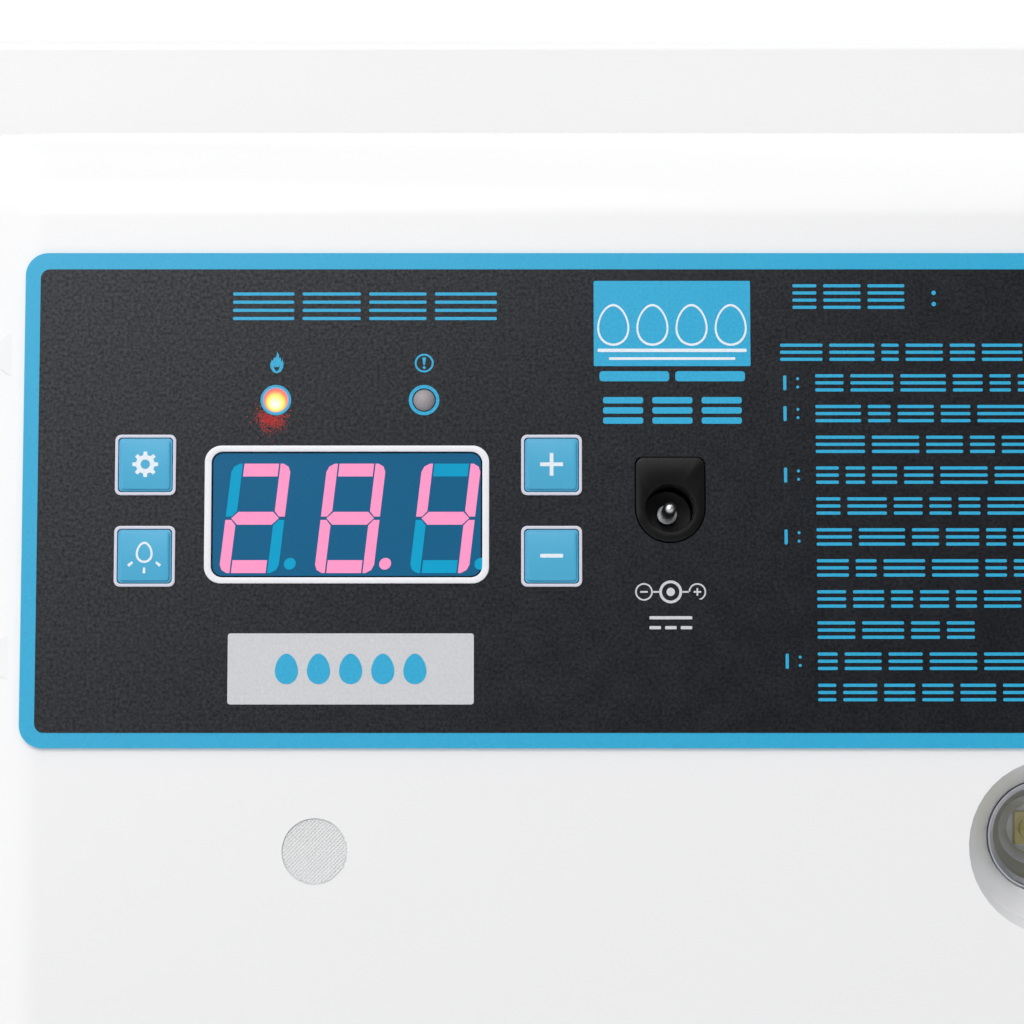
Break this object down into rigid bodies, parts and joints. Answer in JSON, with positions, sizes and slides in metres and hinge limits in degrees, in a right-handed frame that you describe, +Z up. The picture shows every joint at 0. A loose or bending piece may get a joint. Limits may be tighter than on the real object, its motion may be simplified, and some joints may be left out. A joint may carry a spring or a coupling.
{
  "type": "egg incubator",
  "caption": "Tabletop incubator: white double-walled tub with a water bed, windowed hinged lid, and a raked front panel with keys, display, vent and candling lamp.",
  "frame": {"origin": "centre of the footprint, on the table under the rubber feet", "axes": "+Z up, -Y towards the control panel on the front, +X to the right as seen from the front"},
  "size_m": [0.32, 0.45, 0.1593],
  "materials": {
    "shell_white": "gloss moulded ABS",
    "liner_white": "thin vacuum-formed sheet",
    "foam": "moulded polystyrene beads",
    "base_plastic": "fine spark texture",
    "feet_rubber": "matte",
    "gasket_rubber": "soft silicone",
    "lead_rubber": "PVC sleeve",
    "harness_grey": "PVC sleeve",
    "lead_red": "silicone sleeve",
    "lead_orange": "PVC sleeve",
    "film_orange": "polyimide film with etched tracks",
    "ceramic_cream": "fired, matte",
    "water_vinyl": "welded vinyl film",
    "quilt_fabric": "quilted polyester",
    "cap_blue": "moulded",
    "steel": "zinc plated",
    "chrome_lamp": "vacuum metallised",
    "overlay_black": "fine matte film with a blue border",
    "key_blue": "satin",
    "bezel_pale": "satin",
    "display_black": "potted display body",
    "display_blue": "tinted display face with lit digits",
    "frame_white": "printed and raised",
    "led_heat": "lit",
    "led_off": "milky, unlit",
    "board_green": "solder mask",
    "black_plastic": "moulded nylon",
    "lens_clear": "clear acrylic",
    "pane_clear": "clear acrylic",
    "phosphor": "phosphor coating",
    "vent_grey": "woven mesh",
    "coil_yellow": "tape wound",
    "can_navy": "shrink sleeve",
    "rocker_red": "moulded",
    "bracket_white": "powder coat"
  },
  "bodies": {
    "housing": {"outer_shell": "shell_white", "base_plate": "base_plastic", "base_screws": "steel", "rubber_feet": "feet_rubber", "foam_tub": "foam", "liner_tub": "liner_white", "heating_film": "film_orange", "thermal_cutout": "ceramic_cream", "water_bed": "water_vinyl", "filler_neck": "liner_white", "insulating_quilt": "quilt_fabric", "rim_gasket": "gasket_rubber", "temperature_probe": "steel", "probe_lead": "lead_rubber", "probe_grommet": "feet_rubber", "front_overlay": "overlay_black", "key_bezels": "bezel_pale", "display_module": "display_black", "display_window": "display_blue", "display_frame": "frame_white", "heat_led": "led_heat", "alarm_led": "led_off", "main_board": "board_green", "board_screws": "steel", "tact_switches": "black_plastic", "alarm_buzzer": "black_plastic", "dc_jack": "black_plastic", "dc_jack_pin": "steel", "candler_reflector": "chrome_lamp", "candler_lens": "lens_clear", "candler_led": "phosphor", "candler_board": "liner_white", "candler_holder": "base_plastic", "vent_mesh": "vent_grey", "power_board": "board_green", "power_transformer": "coil_yellow", "filter_capacitor": "can_navy", "mains_inlet": "black_plastic", "inlet_pins": "steel", "switch_housing": "black_plastic", "mains_harness": "harness_grey", "heater_leads": "lead_red", "candler_leads": "lead_orange", "hinge_brackets": "bracket_white", "bracket_screws": "steel", "hinge_pins": "steel"},
    "lid": {"lid_frame": "shell_white", "lid_window": "pane_clear", "window_gasket": "gasket_rubber", "lid_inner_frame": "liner_white", "lid_screws": "steel"},
    "rocker": {"rocker": "rocker_red"},
    "filler_cap": {"filler_cap": "cap_blue"},
    "key_set": {"key_set": "key_blue"},
    "key_candle": {"key_candle": "key_blue"},
    "key_plus": {"key_plus": "key_blue"},
    "key_minus": {"key_minus": "key_blue"}
  },
  "joints": [
    {"name": "lid_hinge", "type": "hinge", "parent": "housing", "child": "lid", "pos_m": [0, 0.201, 0.1485], "axis": [-1, 0, 0], "range_deg": [0, 100]},
    {"name": "rocker_tilt", "type": "hinge", "parent": "housing", "child": "rocker", "pos_m": [0.08, 0.22, 0.038], "axis": [1, 0, 0], "range_deg": [0, 20]},
    {"name": "filler_cap_turn", "type": "hinge", "parent": "housing", "child": "filler_cap", "pos_m": [-0.108, -0.1305, 0.046], "axis": [0, 0, 1], "continuous": true},
    {"name": "key_set_press", "type": "slide", "parent": "housing", "child": "key_set", "axis": [0, 0.9945, -0.1045], "range_m": [0, 0.0005], "stiffness_N_per_m": 300},
    {"name": "key_candle_press", "type": "slide", "parent": "housing", "child": "key_candle", "axis": [0, 0.9945, -0.1045], "range_m": [0, 0.0005], "stiffness_N_per_m": 300},
    {"name": "key_plus_press", "type": "slide", "parent": "housing", "child": "key_plus", "axis": [0, 0.9945, -0.1045], "range_m": [0, 0.0005], "stiffness_N_per_m": 300},
    {"name": "key_minus_press", "type": "slide", "parent": "housing", "child": "key_minus", "axis": [0, 0.9945, -0.1045], "range_m": [0, 0.0005], "stiffness_N_per_m": 300}
  ]
}
